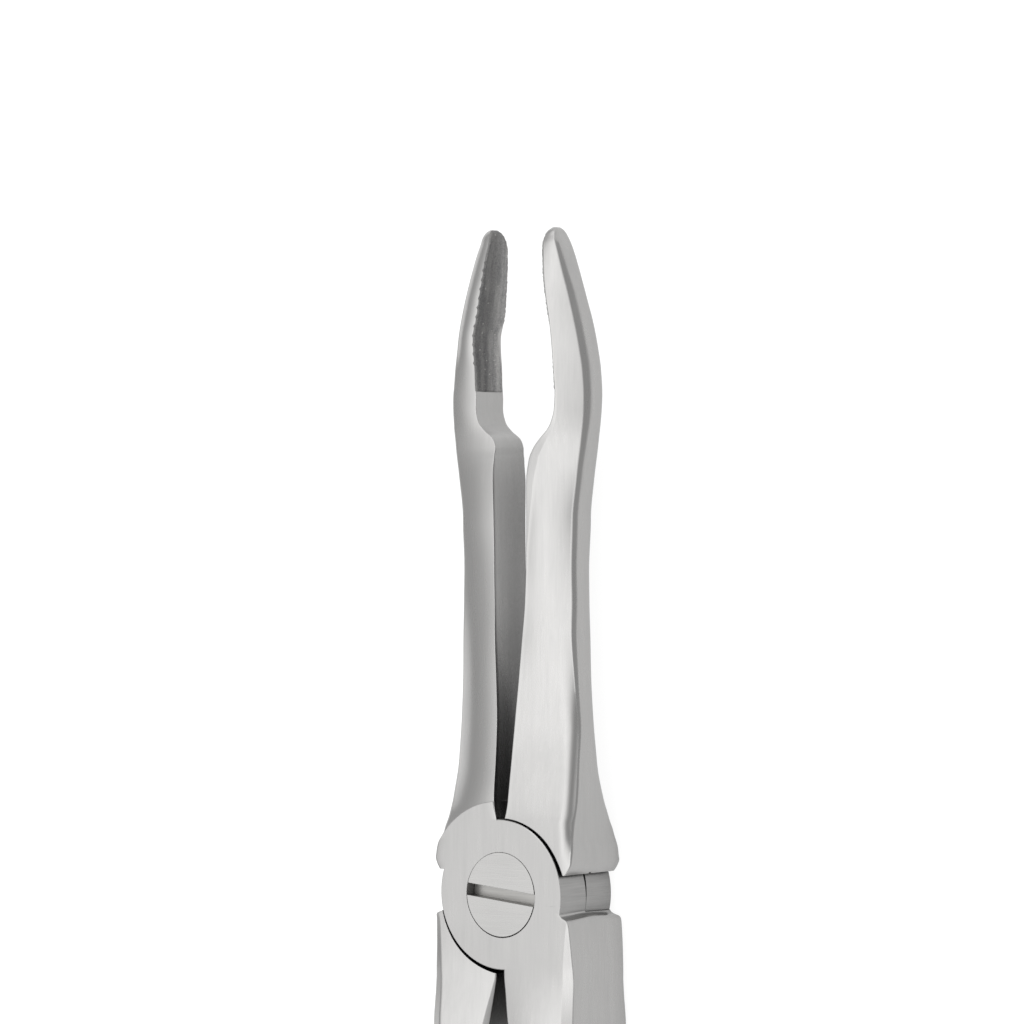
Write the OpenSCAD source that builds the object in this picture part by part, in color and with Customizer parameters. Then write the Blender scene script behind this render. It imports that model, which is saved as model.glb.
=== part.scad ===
// Extraction forceps, English pattern, with long straight root beaks and a screw joint.
// The forceps lie on their back: +Z is the pivot axis, up to the screw head, +Y runs to the
// beak tips and the beaks open along X. The origin is on the pivot axis, at the joint's back face.
// The two forgings cross at the joint, and each is the other turned half a turn about the
// long axis. Shapes are drawn closed, then each forging turns by half of rest_opening.

/* [Joint] */
// Angle between the two forgings as they lie, in degrees from closed
rest_opening = 5; // [0:1:20]
// Thickness of the joint, both plates together
joint_t = 9; // [8.6:0.1:9.4]
// Radius of each round joint plate
plate_r = 7.9; // [7.7:0.1:8]
// Gap between the two joint plates
plate_gap = 0.06; // [0.04:0.01:0.1]
// Gap between a plate's round edge and the other forging
arc_gap = 0.3; // [0.2:0.05:0.4]

/* [Screw] */
// Diameter of the screw head
head_d = 8.8; // [8:0.1:9.4]
// Height of the screw head
head_h = 2.2; // [1.8:0.1:2.6]
// Diameter of the shoulder that the front forging turns on
shoulder_d = 5.2; // [4.6:0.1:6]
// Diameter of the end that is fixed in the rear forging
thread_d = 4.2; // [3.6:0.1:4.5]
// Width of the screwdriver slot
slot_w = 1.3; // [1.1:0.1:1.6]
// Depth of the screwdriver slot
slot_h = 1.3; // [0.8:0.1:1.4]
// Direction of the slot, in degrees from the X axis
slot_angle = -5.5; // [-90:0.5:90]
// Radial clearance round the shoulder and round the head
running_gap = 0.06; // [0.03:0.01:0.09]

/* [Beaks] */
// Height above the pivot at which the abrasive grip face starts
grip_start = 52.6; // [52:0.1:54]
// Thickness of the abrasive lining on each beak
grip_t = 0.25; // [0.15:0.05:0.35]
// How much the inner beak face is hollowed between its edges
beak_hollow = 0.25; // [0.1:0.05:0.4]

/* [Handles] */
// How far each grip stands out, front and back, beyond the joint
grip_swell = 1.2; // [0.6:0.1:1.6]
// Width of the bevels along the outer edges of the grips
grip_bevel = 2.6; // [1.5:0.1:3]
// Width of the small bevels along the inner edges of the handles
inner_bevel = 0.5; // [0.3:0.1:0.8]

/* [Hidden] */
$fn = 72;

mid_z = joint_t / 2;
plate_t = (joint_t - plate_gap) / 2;
recess_r = plate_r + arc_gap;
// Room under the screw head, and between a lining and the beak behind it
seat_gap = 0.05;
// The shanks and handles lie this far below the faces of the joint plates
flush_step = 0.03;
// Most that the outer corner on the sloping side of a shank is rounded
corner_r = 0.5;
steel = [0.80, 0.79, 0.78];
screw_steel = [0.86, 0.85, 0.84];
abrasive = [0.40, 0.39, 0.38];

// Shank and beak stations, from the shoulder beside the joint to the tip: height, inner face,
// outer face, depth of the inner edge on the broad and on the sloping side, depth of the outer
// face's edge on the broad and on the sloping side, all measured from mid-depth, and how far
// the broad side stands over a straight line near its outer edge.
shank = [
    [2.9, 0.45, 8.6, mid_z - flush_step, mid_z - flush_step, 4.4, 4.4, 0.05],
    [4.6, 0.45, 8.8, mid_z - flush_step, mid_z - flush_step, 4.1, 4.3, 0.3],
    [6.6, 0.4, 8.55, mid_z - flush_step, mid_z - flush_step, 3.7, 3.9, 0.7],
    [8.6, 0.4, 8.5, mid_z - flush_step, 4.45, 3.4, 2.9, 1],
    [9.8, 0.5, 8.5, 4.45, 4.4, 3.2, 2.2, 1],
    [14, 0.5, 8.25, 4.1, 3.85, 2.65, 0.9, 1],
    [18.2, 0.45, 7.8, 3.65, 3.45, 2, 0.7, 1],
    [22.4, 0.5, 7.25, 3.35, 3.25, 1.9, 0.85, 0.6],
    [26.6, 0.6, 6.7, 3.15, 3.1, 1.9, 1.05, 0.2],
    [30.8, 0.65, 6.25, 2.9, 2.85, 1.55, 1.3, 0.1],
    [35, 0.55, 5.9, 2.85, 2.8, 1.4, 1.55, 0.1],
    [39.3, 0.4, 5.7, 2.95, 2.9, 1.15, 1.9, 0.1],
    [43.5, 0.25, 5.9, 3.1, 3.05, 1.05, 1.9, 0],
    [45.6, 0.35, 6.15, 3, 2.8, 1.1, 1.9, 0],
    [46.8, 0.75, 6.3, 2.9, 2.5, 1.1, 1.9, 0],
    [47.9, 1.65, 6.45, 2.85, 2.4, 1.05, 1.85, 0],
    [48.7, 2.45, 6.5, 2.8, 2.35, 1, 1.85, 0],
    [49.6, 3, 6.6, 2.75, 2.3, 1, 1.8, 0],
    [50.8, 3.3, 6.65, 2.7, 2.3, 1, 1.8, 0],
    [grip_start - 0.05, 3.25, 6.65, 2.65, 2.25, 1, 1.8, 0],
    [grip_start, 3.25, 6.65, 2.65, 2.25, 1, 1.8, 0],
    [55, 3, 6.4, 2.6, 2.3, 1.05, 1.75, 0],
    [57.5, 2.65, 5.95, 2.55, 2.4, 1.2, 1.6, 0],
    [60.1, 2.15, 5.25, 2.5, 2.5, 1.25, 1.45, 0],
    [62.6, 1.5, 4.45, 2.35, 2.4, 1.25, 1.3, 0],
    [65.2, 0.9, 3.55, 2.1, 2.2, 1.45, 1.2, 0],
    [67, 0.6, 2.9, 1.9, 2, 1.5, 1.1, 0],
    [68.3, 0.45, 2.35, 1.65, 1.7, 1.4, 1, 0],
    [69.2, 0.5, 1.9, 1.3, 1.35, 1.1, 0.95, 0],
    [69.85, 0.65, 1.5, 0.8, 0.85, 0.65, 0.6, 0]
];

// Handle stations, from the shoulder beside the joint to the end: height, inner face, outer
// face, share of the swell and share of the bevel.
handle = [
    [-2.5, 1, 9.15, 0, 0.04],
    [-5.5, 0.5, 9.2, 0, 0.12],
    [-8.5, 0.12, 9.2, 0, 0.2],
    [-11, 0.3, 9.15, 0.2, 0.3],
    [-14, 0.6, 9.2, 0.46, 0.45],
    [-19, 1.7, 9.6, 0.8, 0.7],
    [-26, 3.5, 10.15, 1, 1],
    [-35, 5.3, 11.35, 1, 1],
    [-45, 7, 12.95, 1, 1],
    [-56, 8.4, 14.5, 1, 1],
    [-67, 9.25, 15.5, 1, 1],
    [-78, 9.5, 15.9, 1, 1],
    [-89, 9.25, 15.65, 1, 1],
    [-99, 8.7, 15, 1, 1],
    [-106, 8.15, 14.35, 0.9, 0.95],
    [-110, 7.95, 13.85, 0.6, 0.85],
    [-112.6, 8.25, 13.1, 0.1, 0.7],
    [-114, 9.1, 12.1, -0.7, 0.5]
];

// The stations of the beak where the abrasive lining lies.
function lined() = [
    for (s = shank)
        if (s[0] >= grip_start && s[0] < 69.5)
            s
];

// One ring of a shank: the inner edge, the broad side, a small facet, the narrow outer face,
// and back over the sloping side to the other inner edge.
function shank_ring(s) =
    let (
        in_u = s[1] + (s[0] >= grip_start ? grip_t + seat_gap : 0),
        out_u = s[2],
        wide = out_u - in_u,
        broad = s[3],
        slope = s[4],
        low = s[5],
        high = s[6],
        reach = min(1.3, 0.4 * wide),
        facet = min(1, 0.3 * wide),
        round = min(corner_r, 0.2 * wide, 0.4 * high),
        hollow = s[0] > 48 ? beak_hollow * min(1, slope / 2) : 0.1
    )
    [
        [in_u, -broad],
        [out_u - reach, -(low + (broad - low) * reach / wide + 0.7 * s[7])],
        [out_u - 0.45 * facet, -(low + 0.15 * s[7])],
        [out_u, -(low - 0.6 * facet)],
        [out_u, high - round],
        [out_u - 0.6 * round, high + (slope - high) * 0.6 * round / wide],
        [in_u + 0.5 * wide, (slope + high) / 2 + 0.035 * wide],
        [in_u, slope],
        [in_u + min(hollow, wide / 3), 0]
    ];

// One ring of a handle: flat inside, flat front and back, and a rounded bevel on each outer edge.
function handle_ring(h) =
    let (
        in_u = h[1],
        out_u = h[2],
        d = mid_z - flush_step + grip_swell * h[3],
        bevel = grip_bevel * h[4],
        inner = min(inner_bevel, (out_u - in_u) / 5)
    )
    [
        [in_u, inner - d],
        [in_u + inner, -d],
        [out_u - bevel, -d],
        [out_u - 0.3 * bevel, 0.36 * bevel - d],
        [out_u, bevel - d],
        [out_u, d - bevel],
        [out_u - 0.3 * bevel, d - 0.36 * bevel],
        [out_u - bevel, d],
        [in_u + inner, d],
        [in_u, d - inner]
    ];

// One ring of a lining: as long as the beak is deep, hollowed as the beak is.
function lining_ring(s) =
    let (
        low = s[3] - 0.1,
        high = s[4] - 0.1,
        hollow = beak_hollow * min(1, s[4] / 2)
    )
    [
        [s[1], -low],
        [s[1] + grip_t, -low],
        [s[1] + grip_t + hollow, 0],
        [s[1] + grip_t, high],
        [s[1], high],
        [s[1] + hollow, 0]
    ];

// A closed skin over rings of points. Each end is a fan from the ring's last point, which has
// to see all the others.
module loft(rings) {
    n = len(rings[0]);
    top = (len(rings) - 1) * n;
    sides = [
        for (j = [0:len(rings) - 2], i = [0:n - 1])
            let (a = j * n + i, b = j * n + (i + 1) % n)
                each [[a, b + n, b], [a, a + n, b + n]]
    ];
    first_end = [for (i = [0:n - 3]) [n - 1, i, i + 1]];
    last_end = [for (i = [0:n - 3]) [top + n - 1, top + i + 1, top + i]];
    polyhedron(points = [for (r = rings, p = r) p], faces = concat(sides, first_end, last_end), convexity = 6);
}

// The shank and beak lie on the -X side, with their sloping side to the front.
module shank_and_beak() {
    loft([for (s = shank) [for (p = shank_ring(s)) [-p[0], s[0], p[1]]]]);
}

// The handle lies on the +X side, below the joint.
module handle_bar() {
    loft([for (h = handle) [for (p = handle_ring(h)) [p[0], h[0], p[1]]]]);
}

// One forging about mid-depth: its plate is the front half of the joint, and the back half
// is cut away round the other forging's plate.
module forging() {
    difference() {
        union() {
            shank_and_beak();
            handle_bar();
            translate([0, 0, mid_z - plate_t])
                cylinder(h = plate_t, r = plate_r);
        }
        translate([0, 0, -2 * joint_t])
            cylinder(h = 2 * joint_t + plate_gap / 2, r = recess_r);
    }
}

// Turns a forging from mid-depth coordinates to its place, opened by half of the rest angle.
module front_place() {
    translate([0, 0, mid_z])
        rotate([0, 0, rest_opening / 2])
            children();
}

// The rear forging is the front one turned half a turn about the long axis.
module rear_place() {
    translate([0, 0, mid_z])
        rotate([0, 0, -rest_opening / 2])
            rotate([0, 180, 0])
                children();
}

// Abrasive layer on the inner face of the front forging's beak, in forging coordinates.
module lining() {
    loft([for (s = lined()) [for (p = lining_ring(s)) [-p[0], s[0], p[1]]]]);
}

module front_half() {
    color(steel)
        difference() {
            front_place()
                forging();
            cylinder(h = 2 * joint_t, d = shoulder_d + 2 * running_gap);
            translate([0, 0, joint_t - head_h - seat_gap])
                cylinder(h = joint_t, d = head_d + 2 * running_gap);
        }
}

module rear_half() {
    color(steel)
        difference() {
            rear_place()
                forging();
            translate([0, 0, -joint_t])
                cylinder(h = 3 * joint_t, d = thread_d + 0.04);
        }
}

module joint_screw() {
    color(screw_steel)
        difference() {
            union() {
                cylinder(h = joint_t, d = thread_d);
                translate([0, 0, plate_t])
                    cylinder(h = joint_t - plate_t, d = shoulder_d);
                translate([0, 0, joint_t - head_h])
                    cylinder(h = head_h, d = head_d);
            }
            rotate([0, 0, slot_angle])
                translate([-head_d, -slot_w / 2, joint_t - slot_h])
                    cube([2 * head_d, slot_w, joint_t]);
        }
}

module front_beak_grip() {
    color(abrasive)
        front_place()
            lining();
}

module rear_beak_grip() {
    color(abrasive)
        rear_place()
            lining();
}

front_half();
rear_half();
joint_screw();
front_beak_grip();
rear_beak_grip();
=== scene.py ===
"""Extraction forceps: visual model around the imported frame.

The forceps lie on their back: Z is the pivot axis, Y runs to the beak tips and the beaks
open along X. Shapes are worked out in millimetres about the pivot, where w is the height
above mid-depth, and go to metres at the end.
"""
import math

import bmesh
import bpy
import numpy as np
from mathutils import Matrix, Vector


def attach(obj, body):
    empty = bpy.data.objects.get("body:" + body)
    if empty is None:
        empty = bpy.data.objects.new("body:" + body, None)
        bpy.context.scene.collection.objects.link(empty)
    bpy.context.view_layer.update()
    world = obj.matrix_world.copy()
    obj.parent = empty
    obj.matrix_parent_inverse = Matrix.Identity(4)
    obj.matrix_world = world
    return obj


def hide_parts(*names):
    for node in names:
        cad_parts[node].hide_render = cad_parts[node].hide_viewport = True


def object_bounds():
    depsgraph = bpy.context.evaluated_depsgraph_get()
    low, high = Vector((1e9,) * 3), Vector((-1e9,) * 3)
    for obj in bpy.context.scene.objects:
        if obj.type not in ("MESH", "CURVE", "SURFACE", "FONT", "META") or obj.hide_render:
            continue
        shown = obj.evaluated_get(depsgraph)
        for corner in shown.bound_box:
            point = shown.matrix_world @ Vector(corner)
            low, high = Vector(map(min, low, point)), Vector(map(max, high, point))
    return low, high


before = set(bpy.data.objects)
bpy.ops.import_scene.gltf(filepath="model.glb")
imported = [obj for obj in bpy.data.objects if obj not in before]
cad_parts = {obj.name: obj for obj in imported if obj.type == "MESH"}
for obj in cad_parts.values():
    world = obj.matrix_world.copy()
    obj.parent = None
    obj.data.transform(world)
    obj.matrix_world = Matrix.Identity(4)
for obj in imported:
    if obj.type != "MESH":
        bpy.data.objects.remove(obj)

cad_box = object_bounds()

MM = 0.001
MID_Z = 4.5              # mid-depth of the joint above its back face
FRONT_Z = 9.0            # front face of the joint
PLATE_R = 7.88           # round joint plates
PLATE_GAP = 0.024        # between the two plates
RECESS_R = 8.2           # hollow round the other forging's plate
RECESS_OFFSET = (0.3, -0.19)
HANDLE_RECESS = (8.78, 0.79, 0.28)   # radius and centre of the hollow in the rear forging's handle
HEAD_R = 4.42            # screw head
HEAD_Z = 6.8             # underside of the screw head
SHOULDER_R = 2.6
THREAD_R = 2.1
BORE_OFFSET = (0.025, -0.04)   # the running gap closes at the top of the screw head
SLOT_ANGLE = -5.6        # degrees from the X axis
SLOT_W, SLOT_DEPTH = 1.3, 1.3
SPOT_R = 9.5             # flat ground round the joint on each forging's own shoulder


# ------------------------------------------------------------------ curves

def smooth(points, at):
    """Monotone cubic curve through (x, value) points, at each of the given x."""
    x, v = np.array(sorted(points), float).T
    step, slope = np.diff(x), np.diff(v) / np.diff(x)
    tangent = np.zeros_like(v)
    tangent[0], tangent[-1] = slope[0], slope[-1]
    for i in range(1, len(x) - 1):
        if slope[i - 1] * slope[i] > 0:
            a, b = 2 * step[i] + step[i - 1], step[i] + 2 * step[i - 1]
            tangent[i] = (a + b) / (a / slope[i - 1] + b / slope[i])
    at = np.clip(at, x[0], x[-1])
    k = np.clip(np.searchsorted(x, at) - 1, 0, len(x) - 2)
    t = (at - x[k]) / step[k]
    return (
        v[k] * (1 + 2 * t) * (1 - t) ** 2
        + step[k] * tangent[k] * t * (1 - t) ** 2
        + v[k + 1] * t * t * (3 - 2 * t)
        + step[k] * tangent[k + 1] * t * t * (t - 1)
    )


def section(corners, counts, bulges, arc=5):
    """Closed outline through rounded corners (u, w, radius). Edge i runs from corner i to
    the next one with counts[i] points and stands out by bulges[i] in its middle, or by the
    given amounts at the given fractions of its length."""
    n = len(corners)
    p = [np.array(c[:2]) for c in corners]
    starts, ends, arcs = [], [], []
    for i in range(n):
        a, b, c = p[i - 1], p[i], p[(i + 1) % n]
        to_a, to_c = a - b, c - b
        la, lc = np.linalg.norm(to_a), np.linalg.norm(to_c)
        to_a, to_c = to_a / la, to_c / lc
        cos_full = np.clip(np.dot(to_a, to_c), -0.999, 0.999)
        half = math.acos(cos_full) / 2
        r = min(corners[i][2], 0.45 * min(la, lc) * math.tan(half))
        reach = r / math.tan(half)
        first, last = b + to_a * reach, b + to_c * reach
        centre = b + (to_a + to_c) / np.linalg.norm(to_a + to_c) * r / math.sin(half)
        t = np.linspace(0, 1, arc)[:, None]
        spokes = (first - centre) * (1 - t) + (last - centre) * t
        spokes *= r / np.linalg.norm(spokes, axis=1)[:, None]
        arcs.append(centre + spokes)
        starts.append(last)
        ends.append(first)
    out = []
    for i in range(n):
        out.append(arcs[i])
        a, b = starts[i], ends[(i + 1) % n]
        along = b - a
        normal = np.array([along[1], -along[0]]) / (np.linalg.norm(along) + 1e-9)
        if isinstance(bulges[i], tuple):
            t, stand = bulges[i][0][:, None], bulges[i][1][:, None]
        else:
            t = np.linspace(0, 1, counts[i] + 2)[1:-1, None]
            stand = 4 * bulges[i] * t * (1 - t)
        out.append(a + along * t + normal * stand)
    return np.concatenate(out)


def table(stations, names, at):
    """Columns of listed stations as smooth curves over the first column."""
    return {
        name: smooth([(s[0], s[i + 1]) for s in stations], at)
        for i, name in enumerate(names)
    }


# ------------------------------------------------------------------ meshes

def new_object(name, verts, faces):
    mesh = bpy.data.meshes.new(name)
    mesh.from_pydata([tuple(v) for v in verts], [], faces)
    mesh.validate()
    obj = bpy.data.objects.new(name, mesh)
    bpy.context.scene.collection.objects.link(obj)
    return obj


def loft(name, rings):
    """Closed skin over rings of points, each given as an array of x, y, z in millimetres."""
    m, n = len(rings), len(rings[0])
    verts = np.concatenate(rings) * MM
    faces = [
        (j * n + i, j * n + (i + 1) % n, (j + 1) * n + (i + 1) % n, (j + 1) * n + i)
        for j in range(m - 1)
        for i in range(n)
    ]
    faces.append(tuple(range(n - 1, -1, -1)))
    faces.append(tuple((m - 1) * n + i for i in range(n)))
    obj = new_object(name, verts, faces)
    bm = bmesh.new()
    bm.from_mesh(obj.data)
    bmesh.ops.recalc_face_normals(bm, faces=bm.faces)
    bm.to_mesh(obj.data)
    bm.free()
    return obj


def lathe(name, profile, centre=(0, 0), steps=192):
    """Solid of revolution about a vertical axis, from (radius, z) points on its outline."""
    angle = np.linspace(0, 2 * math.pi, steps, endpoint=False)
    rings = [
        np.stack([centre[0] + r * np.cos(angle), centre[1] + r * np.sin(angle), z + 0 * angle], 1)
        for r, z in profile
    ]
    return loft(name, rings)


def combine(target, operation, other):
    """Exact solid operation, applied at once; the other object is used up."""
    mod = target.modifiers.new("op", "BOOLEAN")
    mod.operation = operation
    mod.solver = "MANIFOLD"
    mod.object = other
    depsgraph = bpy.context.evaluated_depsgraph_get()
    mesh = bpy.data.meshes.new_from_object(target.evaluated_get(depsgraph))
    target.modifiers.clear()
    target.data = mesh
    bpy.data.objects.remove(other)
    return target


def finish_mesh(obj, angle=28):
    """Smooth shading with sharp edges where faces turn more than the angle."""
    mesh = obj.data
    mesh.shade_smooth()
    mesh.set_sharp_from_angle(angle=math.radians(angle))
    return obj


# ------------------------------------------------------------------ forgings

# Shank and beak, by height above the pivot: inner face, outer face, half depth at the inner
# edges of the P and Q sides, half width of the outer band on each side, corner radii, how far
# the broad faces swell, the width of the flat along the P side's inner edge, how far the P face
# would stand over the band if it didn't roll off near the shoulder, the facet between them, and
# the width of that roll.
# The P side is the right shank's front and the left shank's back.
SHANK_COLUMNS = ("inner", "outer", "depth_p", "depth_q", "band_p", "band_q", "round_p", "round_q",
                 "bulge_p", "bulge_q", "flat", "lip", "facet", "roll")
SHANK = [
    (2.35, 0.5, 8.3, 4.5, 4.5, 4.45, 4.45, 0.35, 0.15, 0.05, 0.0, 0.1, 0.05, 0.1, 1.0),
    (2.9, 0.5, 8.75, 4.5, 4.5, 4.4, 4.45, 0.5, 0.2, 0.05, 0.0, 0.1, 0.1, 0.15, 1.0),
    (3.6, 0.5, 9.05, 4.5, 4.5, 4.3, 4.4, 0.62, 0.25, 0.05, 0.0, 0.1, 0.2, 0.2, 1.0),
    (4.6, 0.5, 9.05, 4.5, 4.5, 4.12, 4.3, 0.62, 0.3, 0.05, 0.01, 0.1, 0.38, 0.3, 1.0),
    (6.6, 0.5, 8.82, 4.5, 4.5, 3.68, 3.9, 0.62, 0.6, 0.05, 0.06, 0.1, 0.7, 0.4, 0.8),
    (7.8, 0.52, 8.82, 4.5, 4.5, 3.52, 3.3, 0.62, 0.8, 0.05, 0.25, 0.1, 0.82, 0.45, 0.9),
    (8.6, 0.72, 8.85, 4.5, 4.47, 3.27, 2.88, 0.6, 0.85, 0.05, 0.4, 0.1, 0.88, 0.3, 1.0),
    (9.8, 0.93, 8.9, 4.48, 4.4, 3.07, 2.2, 0.62, 0.9, 0.05, 0.5, 0.1, 0.9, 0.3, 1.0),
    (14, 1.12, 8.75, 4.1, 3.85, 2.5, 0.88, 0.62, 0.45, 0.05, 0.65, 0.1, 0.86, 0.27, 1.1),
    (18.2, 1.25, 8.44, 3.65, 3.45, 1.87, 0.7, 0.62, 0.45, 0.05, 0.6, 0.1, 0.7, 0.42, 1.15),
    (22.4, 1.5, 8.08, 3.35, 3.25, 1.86, 0.83, 0.62, 0.5, 0.12, 0.52, 0.1, 0.34, 0.58, 1.25),
    (26.6, 1.78, 7.84, 3.15, 3.1, 1.94, 1.06, 0.62, 0.6, 0.25, 0.38, 0.1, 0.06, 0.75, 1.5),
    (30.8, 2.0, 7.6, 2.9, 2.85, 1.55, 1.32, 0.62, 0.8, 0.22, 0.24, 0.1, 0.0, 0.8, 1.5),
    (35, 2.1, 7.42, 2.85, 2.8, 1.38, 1.56, 0.62, 0.8, 0.35, 0.21, 0.12, 0.0, 0.8, 1.5),
    (39.3, 2.1, 7.4, 2.93, 2.9, 1.15, 1.9, 0.62, 0.8, 0.4, 0.21, 0.45, 0.0, 0.8, 1.5),
    (43.5, 2.1, 7.82, 3.1, 3.05, 1.05, 1.9, 0.8, 0.8, 0.22, 0.21, 0.95, 0.0, 0.8, 1.5),
    (45.6, 2.3, 8.15, 3.0, 2.8, 1.08, 1.9, 0.8, 0.8, 0.04, 0.18, 1.2, 0.0, 0.85, 1.5),
    (46.8, 2.8, 8.37, 2.9, 2.5, 1.08, 1.88, 0.8, 0.8, 0.04, 0.18, 1.2, 0.0, 0.9, 1.5),
    (47.9, 3.75, 8.53, 2.85, 2.4, 1.05, 1.85, 0.8, 0.8, 0.04, 0.18, 0.95, 0.0, 0.95, 1.5),
    (48.7, 4.6, 8.65, 2.8, 2.35, 1.02, 1.83, 0.8, 0.8, 0.04, 0.15, 0.7, 0.0, 1.0, 1.5),
    (49.6, 5.15, 8.78, 2.75, 2.32, 1.0, 1.8, 0.8, 0.8, 0.04, 0.15, 0.5, 0.0, 1.05, 1.5),
    (50.8, 5.5, 8.88, 2.7, 2.28, 0.98, 1.8, 0.8, 0.75, 0.04, 0.15, 0.35, 0.0, 1.1, 1.5),
    (52.5, 5.6, 8.95, 2.65, 2.25, 1.02, 1.78, 0.8, 0.7, 0.04, 0.15, 0.25, 0.0, 1.15, 1.5),
    (55, 5.4, 8.8, 2.6, 2.3, 1.05, 1.75, 0.8, 0.7, 0.04, 0.17, 0.2, 0.0, 1.2, 1.5),
    (57.5, 5.15, 8.45, 2.55, 2.4, 1.2, 1.58, 0.8, 0.65, 0.04, 0.28, 0.2, 0, 1.2, 1.5),
    (60.1, 4.8, 7.88, 2.5, 2.5, 1.25, 1.45, 0.8, 0.6, 0.04, 0.31, 0.2, 0, 1.2, 1.5),
    (62.6, 4.25, 7.18, 2.35, 2.4, 1.27, 1.28, 0.8, 0.55, 0.04, 0.31, 0.2, 0, 1.15, 1.5),
    (65.2, 3.75, 6.4, 2.1, 2.2, 1.48, 1.17, 0.8, 0.5, 0.04, 0.22, 0.2, 0, 1.0, 1.5),
    (67.0, 3.55, 5.82, 1.9, 2.0, 1.56, 1.08, 0.45, 0.45, 0.04, 0.16, 0.2, 0, 0.85, 1.5),
    (68.3, 3.4, 5.32, 1.65, 1.7, 1.56, 1.02, 0.4, 0.4, 0.04, 0.12, 0.2, 0, 0.7, 1.5),
    (69.2, 3.5, 4.85, 1.3, 1.35, 1.15, 0.95, 0.35, 0.35, 0.04, 0.05, 0.2, 0.0, 0.5, 1.5),
    (69.75, 3.7, 4.55, 0.9, 0.95, 0.75, 0.65, 0.25, 0.25, 0.04, 0.03, 0.15, 0.0, 0.3, 1.5),
    (70.0, 3.8, 4.3, 0.45, 0.5, 0.4, 0.32, 0.12, 0.12, 0.04, 0.01, 0.1, 0.0, 0.12, 1.5),
]
# The left forging was dressed slimmer by hand: inwards shift of its inner and outer faces.
LEFT_DRESSING = [
    (2, 0.0, 0.15), (4, 0.0, 0.4), (6, 0.0, 0.72), (8, 0.0, 0.75), (11, 0.0, 0.54), (16, 0.0, 0.37),
    (24, 0.0, 0.18), (32, 0.0, 0.08), (40, 0.0, 0.15), (44, 0.0, 0.12), (46, 0.25, 0.12),
    (47, 0.75, 0.14), (47.9, 1.1, 0.15), (48.7, 0.85, 0.15), (49.6, 0.6, 0.2), (50.8, 0.6, 0.24),
    (52.2, 0.7, 0.3), (53.8, 0.52, 0.4), (55.5, 0.33, 0.4), (57.2, 0.05, 0.33), (58.8, -0.12, 0.2),
    (60.5, 0.05, 0.08), (63, -0.15, -0.08), (65.6, -0.26, -0.1), (67, -0.27, -0.1), (68.3, -0.28, -0.08),
    (69.2, -0.28, -0.25), (70, -0.25, -0.25),
]
GRIP_START, GRIP_END = 52.9, 69.9
GRIP_T = 0.22

# Handle, by distance below the pivot: inner face, outer face, half depth, inner bevel, width
# and drop of the outer bevel, and how far the section is rounded for the palm.
HANDLE_COLUMNS = ("inner", "outer", "depth", "bevel_in", "bevel_w", "bevel_d", "roundness")
HANDLE = [
    (0.9, 2.0, 7.4, 4.5, 0.05, 0.05, 0.05, 0),
    (1.5, 1.8, 7.66, 4.5, 0.05, 0.06, 0.05, 0),
    (1.8, 1.7, 7.82, 4.5, 0.05, 0.08, 0.05, 0),
    (1.98, 1.6, 8.1, 4.5, 0.05, 0.12, 0.05, 0),
    (2.1, 1.5, 8.6, 4.5, 0.05, 0.3, 0.05, 0),
    (2.22, 1.45, 8.98, 4.5, 0.05, 0.5, 0.05, 0),
    (2.45, 1.35, 9.2, 4.5, 0.05, 0.64, 0.06, 0),
    (2.8, 1.2, 9.3, 4.5, 0.05, 0.74, 0.08, 0),
    (3.7, 0.9, 9.38, 4.5, 0.08, 0.95, 0.08, 0),
    (6.2, 0.45, 9.54, 4.5, 0.1, 1.35, 0.13, 0),
    (8.7, 0.4, 9.62, 4.5, 0.15, 1.65, 0.2, 0),
    (9.8, 0.5, 9.62, 4.6, 0.25, 1.75, 0.24, 0),
    (13.8, 1.0, 9.78, 5.1, 0.55, 2.15, 0.5, 0.05),
    (19, 2.4, 10.45, 5.3, 0.8, 3.0, 1.2, 0.3),
    (26, 4.6, 11.3, 5.62, 0.95, 2.9, 2.3, 0.8),
    (35, 6.8, 12.9, 5.68, 1.0, 2.9, 2.9, 1),
    (45, 8.95, 14.9, 5.68, 1.0, 2.9, 2.9, 1),
    (56, 10.8, 16.9, 5.68, 1.0, 2.9, 2.9, 1),
    (67, 12.15, 18.4, 5.68, 1.0, 2.9, 2.9, 1),
    (78, 12.9, 19.28, 5.68, 1.0, 2.9, 2.9, 1),
    (89, 13.15, 19.5, 5.68, 1.0, 2.9, 2.9, 1),
    (99, 13.0, 19.25, 5.62, 1.0, 2.9, 2.9, 1),
    (106, 12.8, 18.9, 5.4, 1.0, 2.8, 2.8, 1),
    (110, 12.85, 18.55, 4.9, 0.95, 2.4, 2.4, 1),
    (112.3, 13.2, 18.0, 4.1, 0.85, 1.9, 1.9, 1),
    (113.5, 13.9, 17.3, 3.0, 0.6, 1.1, 1.1, 1),
    (113.9, 14.6, 16.6, 1.9, 0.3, 0.5, 0.5, 1),
]
LEFT_HANDLE = [
    (0.9, 0, 0), (2, 0, 0.4), (3, 0.05, 0.7), (8, 0.45, 0.82), (14, 0.7, 0.8), (26, 0.1, 0.3),
    (38, 0, 0), (114, 0, 0),
]
KNURL_START, KNURL_END = 31.0, 103.0
KNURL_PITCH = 1.25
KNURL_DEPTH = 0.17
# The palm side with its bevels, among the points of a handle section.
PALM_POINTS = slice(21, 91)


def shank_columns(side, at):
    """Shank measurements at the given heights, with the left forging's dressing applied."""
    c = table(SHANK, SHANK_COLUMNS, at)
    if side < 0:
        dressing = table(LEFT_DRESSING, ("inner", "outer"), at)
        c["inner"] = c["inner"] - dressing["inner"]
        c["outer"] = c["outer"] - dressing["outer"]
    return c


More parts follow.
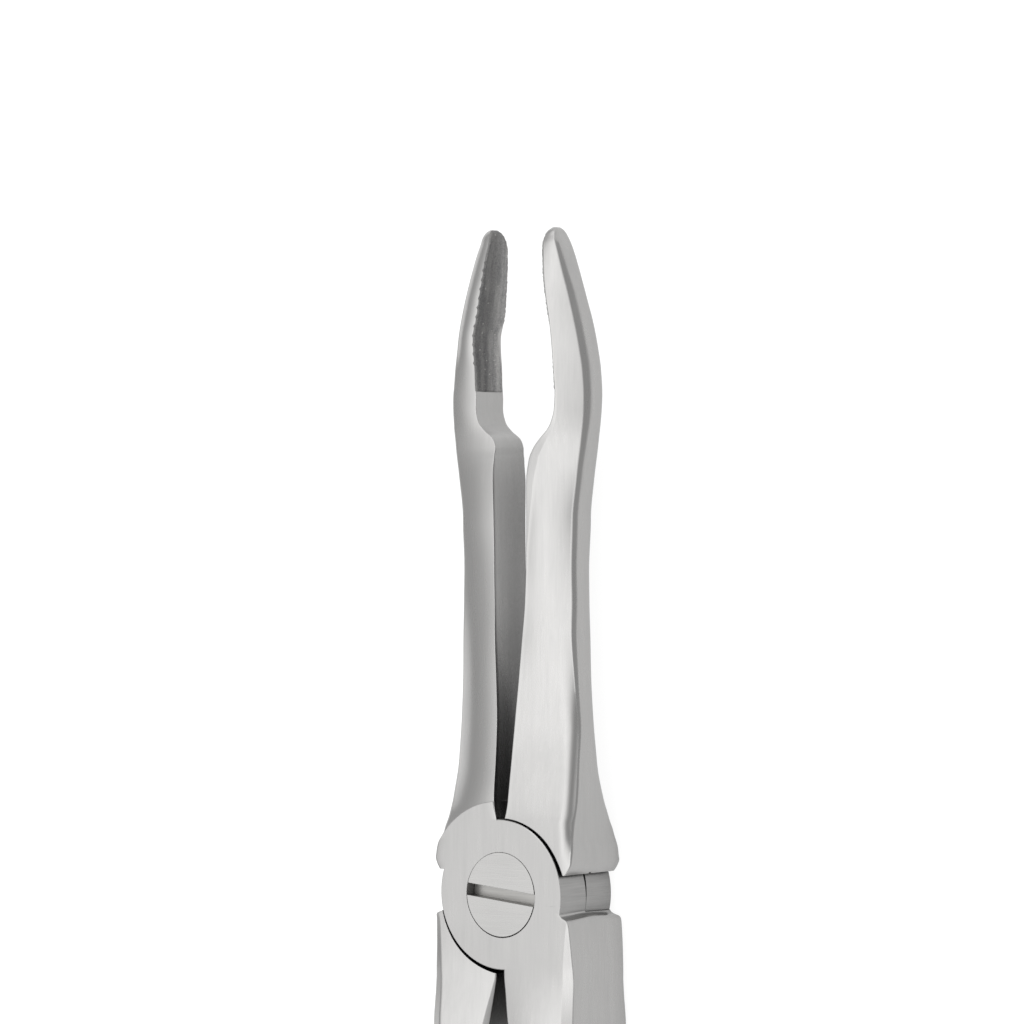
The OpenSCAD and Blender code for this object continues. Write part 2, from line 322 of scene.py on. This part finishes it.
def hollow(c, k, y):
    """How far the inner face is dished at its middle."""
    deepest = 0.12 if y < GRIP_START else 0.2
    return deepest * min(1, (c["outer"][k] - c["inner"][k]) / 2)


def shank_rings(side):
    """Rings of the left (side -1) or right (side +1) shank and beak, bottom to top."""
    dense = np.concatenate([
        np.arange(2.35, 10, 0.2), np.arange(10, 44, 0.35), np.arange(44, 54, 0.16),
        np.arange(54, 67, 0.22), np.arange(67, 70, 0.1), [70],
    ])
    at = np.unique(np.round(dense, 3))
    c = shank_columns(side, at)
    rings = []
    for k, y in enumerate(at):
        inner, outer, flat = c["inner"][k], c["outer"][k], c["flat"][k]
        dp, bp = c["depth_p"][k], c["band_p"][k]
        drop = 0.03 + 0.3 * (flat - 0.1)
        start = dp + (bp + c["lip"][k] - dp) * flat / (outer - inner)
        facet = c["facet"][k]
        corners = [
            (inner, -(dp - drop), 0.1),
            (inner + flat, -start, 0.3),
            (outer - 0.54 * facet, -(bp + 0.06 * facet), 0.45 * facet / (1 + 20 * c["lip"][k])),
            (outer, -(bp - 0.78 * facet), 1.35 * facet),
            (outer, c["band_q"][k], c["round_q"][k]),
            (inner, c["depth_q"][k], 0.06),
        ]
        t = 1 - (1 - np.linspace(0, 1, 20)[1:-1]) ** 1.4
        near_edges = 0.5 - 0.5 * np.cos(np.linspace(0, math.pi, 22))[1:-1]
        sloping = 4 * c["bulge_q"][k] * near_edges * (1 - near_edges)
        part = (c["roll"][k] + 0.1) / (outer - inner)
        from_roll = np.clip((t - 1 + part) / part, 0, 1)
        broad = 4 * c["bulge_p"][k] * t * (1 - t) + 0.95 * c["lip"][k] * (t - from_roll ** 2.1)
        bulges = [0.0, (t, broad), 0.0, 0.0, (near_edges, sloping), -hollow(c, k, y)]
        p = section(corners, [3, 18, 4, 8, 20, 12], bulges, arc=6)
        u, w = p[:, 0], p[:, 1]
        # On the left side the Q side faces the front, on the right side the P side does.
        z = MID_Z + (w if side < 0 else -w)
        rings.append(np.stack([side * u, y + 0 * u, z], 1))
    return rings


def spot_face(side):
    """Flat ground on a forging's own shoulder, level with its plate, ending in an arc."""
    at = np.arange(2.35, 11.2, 0.2)
    c = shank_columns(side, at)
    rings = []
    for k, y in enumerate(at):
        inner, outer = c["inner"][k] + 0.06, c["outer"][k]
        corners = [(inner, 1.0, 0.1), (outer, 1.0, 0.1), (outer, 4.5, 0.3), (inner, 4.5, 0.1)]
        p = section(corners, [8, 6, 8, 6], [0, 0, 0, 0], arc=6)
        u, w = p[:, 0], p[:, 1]
        rings.append(np.stack([side * u, y + 0 * u, MID_Z - side * w], 1))
    prism = loft("prism", rings)
    low, high = (MID_Z + 1.2, 9.5) if side < 0 else (-0.5, MID_Z - 1.2)
    disc = lathe("disc", [(SPOT_R, low), (SPOT_R, high)], (0.1 * side, 0.25))
    return combine(disc, "INTERSECT", prism)


def knurl(y, s, half):
    """Depth of the crossed grooves at distance y below the pivot and s round the palm side."""
    a = (0.82 * y + 0.57 * s) / KNURL_PITCH
    b = (0.82 * y - 0.57 * s) / KNURL_PITCH
    ridge = np.maximum(1 - 3.2 * np.abs(a - np.round(a)), 1 - 3.2 * np.abs(b - np.round(b)))
    reach = half - 1.6
    arch = 5.0 * (np.abs(s) / reach) ** 1.6
    fade = np.clip((y - KNURL_START - arch) / 0.5, 0, 1) * np.clip((KNURL_END - arch - y) / 0.5, 0, 1)
    fade = fade * np.clip((reach - np.abs(s)) / 0.4, 0, 1)
    return KNURL_DEPTH * np.clip(ridge, 0, 1) * fade


def handle_rings(side):
    """Rings of the left or right handle, top to bottom, knurled over the palm side."""
    dense = np.concatenate([
        np.arange(0.9, 3.1, 0.08), np.arange(3.1, 24, 0.4), np.arange(24, 30, 0.5),
        np.arange(30, 104, 0.23), np.arange(104, 112, 0.3), np.arange(112, 113.9, 0.12), [113.9],
    ])
    at = np.unique(np.round(dense, 3))
    c = table(HANDLE, HANDLE_COLUMNS, at)
    dressing = table(LEFT_HANDLE, ("inner", "outer"), at)
    open_up = dressing["inner"] * (side < 0)
    trim = dressing["outer"] * (side < 0)
    rings = []
    for k, y in enumerate(at):
        inner, outer, d = c["inner"][k] + open_up[k], c["outer"][k] - trim[k], c["depth"][k]
        bi, bw, bd, rho = c["bevel_in"][k], c["bevel_w"][k], c["bevel_d"][k], c["roundness"][k]
        # The slimmer left handle has a rounder outer edge instead of the right one's wide facet.
        bw, bd = bw * (1 - 0.25 * trim[k]), bd * (1 + 0.35 * trim[k])
        crown = 0.35 * rho
        # Near the joint the palm face leans, which brings the front forging's facet to a point.
        lean = min(0.5 * np.clip((13.8 - y) / 11, 0, 1), bw - 0.04)
        soft = 0.15 + 0.6 * trim[k]
        # Below the joint the broad faces lean a little, one way in front and the other behind.
        tilt = np.clip((y - (7 if side > 0 else 2.5)) / 6, 0, 1) * np.clip((34 - y) / 14, 0, 1)
        fall = 0.45 * tilt
        near, far = (0.4 * tilt, -0.4 * tilt)
        a_in, a_out, b_in, b_out = d, d - fall, d - near, d - far
        front_in, front_out = (a_in, a_out) if side > 0 else (b_in, b_out)
        back_in, back_out = (b_in, b_out) if side > 0 else (a_in, a_out)
        swell = (0.26 if side > 0 else 0.05) * tilt
        # The right handle's front facet falls away more than the one behind it.
        bw = bw - 0.25 * tilt * (side > 0)
        front_lean = lean + 0.68 * tilt
        front_drop = 0.75 * tilt ** 0.7 * (side > 0)
        corners = [
            (inner, -(back_in - bi), 0.15 + 0.3 * rho),
            (inner + bi, -back_in, 0.15 + 0.4 * rho),
            (outer - bw, -back_out, soft + 2.2 * rho),
            (outer - crown - (lean if side < 0 else 0), -(d - bd), soft + 2.2 * rho),
            (outer - crown - (front_lean if side > 0 else 0), d - bd - front_drop, soft + 2.2 * rho),
            (outer - bw, front_out, soft + 2.2 * rho),
            (inner + bi, front_in, 0.15 + 0.4 * rho),
            (inner, front_in - bi, 0.15 + 0.3 * rho),
        ]
        p = section(corners, [1, 8, 9, 28, 9, 8, 1, 8], [0, swell, 0, crown, 0, swell, 0, 0], arc=6)
        palm = p[PALM_POINTS]
        steps = np.linalg.norm(np.diff(palm, axis=0), axis=1)
        s = np.concatenate([[0], np.cumsum(steps)])
        even = np.linspace(0, s[-1], len(s))
        blend = np.clip((y - 24) / 5, 0, 1)
        wanted = s * (1 - blend) + even * blend
        palm = np.stack([np.interp(wanted, s, palm[:, 0]), np.interp(wanted, s, palm[:, 1])], 1)
        along = np.gradient(palm, axis=0)
        normal = np.stack([along[:, 1], -along[:, 0]], 1)
        normal /= np.linalg.norm(normal, axis=1)[:, None]
        groove = knurl(y, wanted - s[-1] / 2, s[-1] / 2)
        p[PALM_POINTS] = palm - normal * groove[:, None]
        u, w = p[:, 0], p[:, 1]
        lift = 0.14 * np.clip((3.2 - y) / 1.2, 0, 1) * np.clip((u - 7.2) / 1.2, 0, 1)
        lift = lift * np.sin(2 * math.pi * (w + 2.3) / 9)
        rings.append(np.stack([side * u, -y + lift, MID_Z + w], 1))
    return rings


def forging(name, beak_side):
    """One forging: beak on one side, handle on the other, and its plate. The front forging
    has its beak on the left and its plate in front."""
    front = beak_side < 0
    body = loft(name, shank_rings(beak_side))
    handle = loft("handle", handle_rings(-beak_side))
    cut_low, cut_high = (-5, MID_Z + PLATE_GAP / 2) if front else (MID_Z - PLATE_GAP / 2, 15)
    above = (RECESS_R, RECESS_OFFSET[0] * (-1 if front else 1), RECESS_OFFSET[1])
    below = above if front else HANDLE_RECESS
    for part, (radius, x, y) in ((body, above), (handle, below)):
        combine(part, "DIFFERENCE", lathe("recess", [(radius, cut_low), (radius, cut_high)], (x, y)))
    combine(body, "UNION", handle)
    edge = 0.08
    low, high = (MID_Z + PLATE_GAP / 2, 2 * MID_Z) if front else (0, MID_Z - PLATE_GAP / 2)
    face_edge = (PLATE_R - edge, high) if front else (PLATE_R - edge, low)
    outline = [(PLATE_R, low), (PLATE_R, high - edge), face_edge]
    if not front:
        outline = [face_edge, (PLATE_R, low + edge), (PLATE_R, high)]
    combine(body, "UNION", lathe("plate", outline))
    combine(body, "UNION", spot_face(beak_side))
    # The seam between the plates opens towards the front forging's handle side.
    combine(body, "DIFFERENCE", loft("seam", [
        np.array([(7.3, y, MID_Z - h), (8.4, y, MID_Z - h), (8.4, y, MID_Z + h), (7.3, y, MID_Z + h)])
        for y, h in ((-1.3, 0.005), (2.6, 0.18))
    ]))
    if front:
        clear = 0.06
        combine(body, "DIFFERENCE", lathe("bore", [
            (SHOULDER_R + clear, -1), (SHOULDER_R + clear, HEAD_Z),
            (HEAD_R + clear, HEAD_Z), (HEAD_R + clear, FRONT_Z - 0.02),
            (HEAD_R + clear + 0.03, FRONT_Z + 0.01), (HEAD_R + clear + 0.03, 12),
        ], BORE_OFFSET, steps=128))
    else:
        combine(body, "DIFFERENCE", lathe("bore", [
            (THREAD_R + 0.35, -2), (THREAD_R + 0.35, 0.01), (THREAD_R + 0.02, 0.35),
            (THREAD_R + 0.02, 12),
        ], steps=128))
    return body


def turned_screw(name):
    """Flush slotted screw with its shoulder, and its end riveted over in the rear plate."""
    screw = lathe(name, [
        (THREAD_R + 0.28, 0.03), (THREAD_R + 0.3, 0.08), (THREAD_R, 0.36), (THREAD_R, 4.44),
        (SHOULDER_R, 4.46), (SHOULDER_R, HEAD_Z - 0.02), (SHOULDER_R - 0.1, HEAD_Z),
        (HEAD_R - 0.05, HEAD_Z), (HEAD_R, HEAD_Z + 0.05), (HEAD_R, FRONT_Z - 0.02), (HEAD_R - 0.02, FRONT_Z),
    ], steps=128)
    bm = bmesh.new()
    cutter_size = Vector((14, SLOT_W, 4))
    middle = Matrix.Translation(Vector((0, 0, FRONT_Z - SLOT_DEPTH + cutter_size.z / 2)) * MM)
    turn = Matrix.Rotation(math.radians(SLOT_ANGLE), 4, "Z")
    size = Matrix.Diagonal(cutter_size * MM).to_4x4()
    bmesh.ops.create_cube(bm, size=1, matrix=middle @ turn @ size)
    mesh = bpy.data.meshes.new("slot")
    bm.to_mesh(mesh)
    bm.free()
    cutter = bpy.data.objects.new("slot", mesh)
    bpy.context.scene.collection.objects.link(cutter)
    combine(screw, "DIFFERENCE", cutter)
    ring_w = 0.12
    burr = lathe("burr", [
        (THREAD_R - 0.9 - ring_w, 0.02), (THREAD_R - 0.9, -0.1), (THREAD_R - 0.2, -0.14),
        (THREAD_R + 0.15, -0.08), (THREAD_R + 0.25, 0.1), (THREAD_R - 0.9, 0.2),
    ], steps=96)
    return combine(screw, "UNION", burr)


TOOTH_PITCH = 0.98
TOOTH_HEIGHT = 0.3
# How far the grit stops short of the P edge at each height: it has flaked off behind the bend.
NOTCH = [(52, 0.1), (54, 0.15), (57, 0.35), (59.3, 0.55), (60.3, 0.05), (61, 0.0), (70, 0.0)]


def grit_face(name, side, seed):
    """Gritty gripping layer over a beak's inner face, toothed along its Q edge."""
    rng = np.random.default_rng(seed)
    at = np.arange(GRIP_START, GRIP_END + 0.01, 0.09)
    c = shank_columns(side, at)
    across = 48
    rough = rng.uniform(-1, 1, (len(at), across))
    rough = rough + 0.5 * (np.roll(rough, 1, 0) + np.roll(rough, 1, 1))
    tooth_size = rng.uniform(0.5, 1.0, 40)
    rings = []
    for k, y in enumerate(at):
        inner, dp, dq = c["inner"][k], c["depth_p"][k], c["depth_q"][k]
        phase = (y - GRIP_START) / TOOTH_PITCH
        tooth = max(0, 1 - abs(phase - round(phase)) / 0.24) * tooth_size[int(phase + 0.5)]
        worn = 1.0 if 55.5 < y < 66.5 else 0.0
        low = -(dp - 0.16 - smooth(NOTCH, np.array([y]))[0] * (1 if side < 0 else 0.3))
        high = dq + 0.03 + TOOTH_HEIGHT * tooth * worn
        w = np.linspace(low, high, across)
        t = (w + dp) / (dp + dq)
        dish = 4 * hollow(c, k, y) * t * (1 - t)
        rim = np.clip(np.minimum(w - low, high - w) / 0.06, 0, 1)
        ends = min(1, (y - GRIP_START) / 0.09 + 0.2, (GRIP_END - y) / 0.3 + 0.1)
        top = inner + dish - GRIP_T * np.sqrt(rim * ends + 0.02) - 0.03 * rough[k] * rim * ends
        under = np.linspace(high, low, 8)
        share = (under + dp) / (dp + dq)
        bed = inner + 4 * hollow(c, k, y) * share * (1 - share) + 0.05
        u = np.concatenate([top, bed])
        w = np.concatenate([w, under])
        z = MID_Z + (w if side < 0 else -w)
        rings.append(np.stack([side * u, y + 0 * u, z], 1))
    return loft(name, rings)


def rim_faces(part):
    """Turned edge of a plate, where the other forging's hollow leaves it in view."""
    return [
        f.index for f in part.data.polygons
        if abs(math.hypot(f.center.x, f.center.y) - PLATE_R * MM) < 0.02 * MM and abs(f.normal.z) < 0.2
    ]


front_half = forging("front_half_forged", -1)
rear_half = forging("rear_half_forged", 1)
screw = turned_screw("joint_screw_turned")
front_grit = grit_face("front_beak_grit", -1, 5)
rear_grit = grit_face("rear_beak_grit", 1, 9)
for part in (front_half, rear_half, screw):
    finish_mesh(part)
for part in (front_grit, rear_grit):
    part.data.shade_smooth()


# ------------------------------------------------------------------ materials

class Nodes:
    """Small helper for laying out a node tree."""

    def __init__(self, tree):
        self.tree = tree
        self.count = 0

    def add(self, kind, **settings):
        node = self.tree.nodes.new(kind)
        self.count += 1
        node.location = (-220 * (self.count % 6) - 300, 220 * (self.count // 6) - 400)
        inputs = settings.pop("inputs", {})
        for key, value in settings.items():
            setattr(node, key, value)
        for key, value in inputs.items():
            if isinstance(value, bpy.types.NodeSocket):
                self.tree.links.new(value, node.inputs[key])
            else:
                node.inputs[key].default_value = value
        return node

    def noise(self, coords, stretch, detail=3.0, rough=0.5):
        """Noise whose features measure 1 / stretch (per metre) along each axis."""
        scaled = self.add("ShaderNodeMapping", inputs={"Vector": coords, "Scale": stretch})
        return self.add("ShaderNodeTexNoise", inputs={
            "Vector": scaled.outputs["Vector"], "Scale": 1.0, "Detail": detail, "Roughness": rough,
        }).outputs["Fac"]

    def spread(self, value, low, high, start=0.3, end=0.7):
        return self.add("ShaderNodeMapRange", inputs={
            "Value": value, "From Min": start, "From Max": end, "To Min": low, "To Max": high,
        }).outputs["Result"]

    def math(self, operation, a, b):
        return self.add("ShaderNodeMath", operation=operation, inputs={0: a, 1: b}).outputs[0]

    def multiply(self, colour, factor):
        return self.add("ShaderNodeMix", data_type="RGBA", blend_type="MULTIPLY", inputs={
            0: 1.0, 6: colour, 7: factor,
        }).outputs[2]

    def tint(self, value, dark, light):
        return self.add("ShaderNodeMix", data_type="RGBA", inputs={
            0: value, 6: (*dark, 1), 7: (*light, 1),
        }).outputs[2]


def brushed_steel(name, dark, light, rough, grain, along=1, paint_crevice_shade=True):
    """Satin steel with fine brush lines along one axis; grain is their depth. Unless told not to, the base
    colour is darkened where ambient occlusion is low: painted shade in crevices, recesses and between the
    parts.
    """
    material = bpy.data.materials.new(name)
    material.use_nodes = True
    tree = material.node_tree
    bsdf = tree.nodes["Principled BSDF"]
    n = Nodes(tree)
    coords = n.add("ShaderNodeTexCoord").outputs["Object"]
    stretch = [1, 1, 1]
    stretch[along] = 0.04
    fine = n.noise(coords, [7000 * k for k in stretch], 4, 0.6)
    broad = n.noise(coords, [1400 * k for k in stretch], 3, 0.5)
    cloud = n.noise(coords, (90, 60, 90), 3, 0.5)
    lines = n.math("ADD", n.math("MULTIPLY", fine, 0.6), n.math("MULTIPLY", broad, 0.4))
    shade = n.math("ADD", n.math("MULTIPLY", lines, 0.6), n.math("MULTIPLY", cloud, 0.4))
    clean = n.tint(n.spread(shade, 0, 1, 0.38, 0.62), dark, light)
    if not paint_crevice_shade:
        dark = [0.9 * v for v in dark]
    # Painted shade: the base colour is multiplied down by ambient occlusion in crevices, slots and between
    # the parts.
    occlusion = n.add("ShaderNodeAmbientOcclusion", samples=6, inputs={"Distance": 8 * MM})
    painted_shade = n.spread(occlusion.outputs["AO"], 0.25 if paint_crevice_shade else 1, 1, 0.22, 0.6)
    tree.links.new(n.multiply(clean, painted_shade), bsdf.inputs["Base Color"])
    tree.links.new(n.spread(shade, rough + 0.035, rough - 0.035, 0.35, 0.65), bsdf.inputs["Roughness"])
    bsdf.inputs["Metallic"].default_value = 1
    soft_edge = n.add("ShaderNodeBevel", samples=4, inputs={"Radius": 0.09 * MM}).outputs["Normal"]
    bump = n.add("ShaderNodeBump", inputs={
        "Strength": 1.0, "Distance": grain * MM, "Height": lines, "Normal": soft_edge,
    })
    tree.links.new(bump.outputs["Normal"], bsdf.inputs["Normal"])
    return material


def abrasive(name, front):
    """Dark sintered grit with bright specks, streaked along the beak, with painted light making it paler
    towards one edge and painted shade darker towards the other.
    """
    material = bpy.data.materials.new(name)
    material.use_nodes = True
    tree = material.node_tree
    bsdf = tree.nodes["Principled BSDF"]
    n = Nodes(tree)
    coords = n.add("ShaderNodeTexCoord").outputs["Object"]
    streak = n.noise(coords, (1500, 130, 1500), 3, 0.6)
    grain = n.noise(coords, (9000, 9000, 9000), 3, 0.7)
    tone = n.math("ADD", n.math("MULTIPLY", streak, 0.4), n.math("MULTIPLY", grain, 0.6))
    colour = n.tint(n.spread(tone, 0, 1, 0.38, 0.62), (0.08, 0.08, 0.082), (0.205, 0.202, 0.197))
    # Painted light and shade: the colour is up to twice as light towards one side of the face along Z, for
    # how light falls across the hollow inner face.
    depth = n.add("ShaderNodeSeparateXYZ", inputs={"Vector": coords}).outputs["Z"]
    ends = (5.0, 2.5) if front else (4.0, 6.5)
    painted_light_across = n.spread(depth, 1.0, 2.1, ends[0] * MM, ends[1] * MM)
    colour = n.multiply(colour, painted_light_across)
    grains = n.add("ShaderNodeMapping", inputs={"Vector": coords, "Scale": (3200, 3200, 3200)})
    cells = n.add("ShaderNodeTexVoronoi", inputs={"Vector": grains.outputs[0], "Scale": 1.0})
    pick = n.add("ShaderNodeSeparateColor", inputs={"Color": cells.outputs["Color"]}).outputs[0]
    chosen = n.math("GREATER_THAN", pick, 0.95)
    lit = n.math("MULTIPLY", chosen, n.math("LESS_THAN", cells.outputs["Distance"], 0.25))
    speckled = n.add("ShaderNodeMix", data_type="RGBA", inputs={0: lit, 6: colour, 7: (0.45, 0.44, 0.42, 1)})
    tree.links.new(speckled.outputs[2], bsdf.inputs["Base Color"])
    tree.links.new(n.spread(grain, 0.6, 0.9), bsdf.inputs["Roughness"])
    bsdf.inputs["Metallic"].default_value = 0.1
    bsdf.inputs["Specular IOR Level"].default_value = 0.3
    bump = n.add("ShaderNodeBump", inputs={"Strength": 1.0, "Distance": 0.04 * MM, "Height": grain})
    tree.links.new(bump.outputs["Normal"], bsdf.inputs["Normal"])
    return material


satin = brushed_steel("satin_steel", (0.345, 0.342, 0.338), (0.378, 0.374, 0.369), 0.29, 0.0009)
screw_satin = brushed_steel(
    "screw_steel", (0.35, 0.347, 0.342), (0.39, 0.386, 0.38), 0.27, 0.0006, along=0)
# Painted shade: a darker copy of the satin steel for the plate rims, which are seen only in the narrow gap
# round each plate.
rim_shaded_steel = brushed_steel(
    "plate_rim_shaded_steel", (0.25, 0.248, 0.245), (0.31, 0.307, 0.303), 0.33, 0.0009, along=2)
# Painted shade: a darker, rougher copy of the screw steel for the inside of the screw slot.
slot_shaded_steel = brushed_steel(
    "screw_slot_shaded_steel", (0.27, 0.266, 0.258), (0.35, 0.344, 0.334), 0.36, 0.001, along=0, paint_crevice_shade=False)
front_abrasive = abrasive("front_grip_grit", True)
rear_abrasive = abrasive("rear_grip_grit", False)
PIECES = [
    (front_half, "front_half", "front_forging", "forged_steel", satin),
    (rear_half, "rear_half", "rear_forging", "forged_steel", satin),
    (screw, "joint_screw", "rear_forging", "screw_steel", screw_satin),
    (front_grit, "front_beak_grip", "front_forging", "grip_abrasive", front_abrasive),
    (rear_grit, "rear_beak_grip", "rear_forging", "grip_abrasive", rear_abrasive),
]
for part, node, body, slot, material in PIECES:
    part.data.materials.clear()
    part.data.materials.append(material)
    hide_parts(node)
    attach(part, body)
# The plate rims take the darker copy: painted shade in the gap round the plates.
for part in (front_half, rear_half):
    part.data.materials.append(rim_shaded_steel)
    for index in rim_faces(part):
        part.data.polygons[index].material_index = 1
# The darker copy goes on the faces inside the screw slot: painted shade in the slot.
screw.data.materials.append(slot_shaded_steel)
for face in screw.data.polygons:
    inside = math.hypot(face.center.x, face.center.y) < (HEAD_R - 0.05) * MM
    if inside and 7 * MM < face.center.z < 8.9 * MM:
        face.material_index = 1


# ------------------------------------------------------------------ stage

floor_z = cad_box[0][2]
bpy.ops.mesh.primitive_plane_add(size=6, location=(0, 0, floor_z))
floor = bpy.context.object
floor.name = "floor"
floor_mat = bpy.data.materials.new("floor_white")
floor_mat.use_nodes = True
floor_shader = floor_mat.node_tree.nodes["Principled BSDF"]
floor_shader.inputs["Base Color"].default_value = (0.15, 0.15, 0.15, 1)
floor_shader.inputs["Roughness"].default_value = 0.9
floor_shader.inputs["Emission Color"].default_value = (1, 1, 1, 1)
floor_shader.inputs["Emission Strength"].default_value = 0.92
floor.data.materials.append(floor_mat)

VIEW_TILT = math.radians(37)     # the camera stands this far to the right of the pivot axis
VIEW_DISTANCE = 480 * MM
VIEW_WIDTH = 108.36              # millimetres across the picture at the aim
SENSOR_WIDTH = 36
AIM = Vector((-1.84, 40.1, 4.5)) * MM
right = Vector((math.cos(VIEW_TILT), 0, -math.sin(VIEW_TILT)))
up = Vector((0, 1, 0))
back = Vector((math.sin(VIEW_TILT), 0, math.cos(VIEW_TILT)))
cam = bpy.data.cameras.new("camera")
cam.sensor_width = SENSOR_WIDTH
cam.lens = SENSOR_WIDTH * VIEW_DISTANCE / MM / VIEW_WIDTH
cam.clip_start = 0.01
camera = bpy.data.objects.new("camera", cam)
bpy.context.scene.collection.objects.link(camera)
facing = Matrix((right, up, back)).transposed().to_4x4()
camera.matrix_world = Matrix.Translation(AIM + back * VIEW_DISTANCE) @ facing
bpy.context.scene.camera = camera

# Soft overhead light bank running along the forceps, dimmer towards both sides.
SKY = [
    (-180, 0.5), (-90, 0.58), (-60, 0.8), (-48, 1.2), (-37, 1.7), (-25, 2.0), (-12, 2.3),
    (0, 2.2), (15, 2.0), (33, 1.68), (47, 1.15), (60, 0.68), (72, 0.52), (92, 0.52), (180, 0.6),
]
SKY_TOP = 2.3
world = bpy.data.worlds.new("studio")
world.use_nodes = True
sky = Nodes(world.node_tree)
direction = sky.add("ShaderNodeTexCoord").outputs["Generated"]
split = sky.add("ShaderNodeSeparateXYZ", inputs={"Vector": direction}).outputs
lean = sky.math("ARCTAN2", split["X"], split["Z"])
place = sky.spread(lean, 0, 1, -math.pi, math.pi)
ramp = sky.add("ShaderNodeValToRGB", inputs={"Fac": place})
ramp.color_ramp.interpolation = "EASE"
while len(ramp.color_ramp.elements) < len(SKY):
    ramp.color_ramp.elements.new(0.5)
for stop, (angle, level) in zip(ramp.color_ramp.elements, SKY):
    stop.position = (angle + 180) / 360
for stop, (angle, level) in zip(ramp.color_ramp.elements, SKY):
    stop.color = (level / SKY_TOP, level / SKY_TOP, level / SKY_TOP, 1)
backdrop = world.node_tree.nodes["Background"]
world.node_tree.links.new(ramp.outputs["Color"], backdrop.inputs["Color"])
backdrop.inputs["Strength"].default_value = SKY_TOP
bpy.context.scene.world = world
bpy.context.scene.view_settings.view_transform = "Standard"
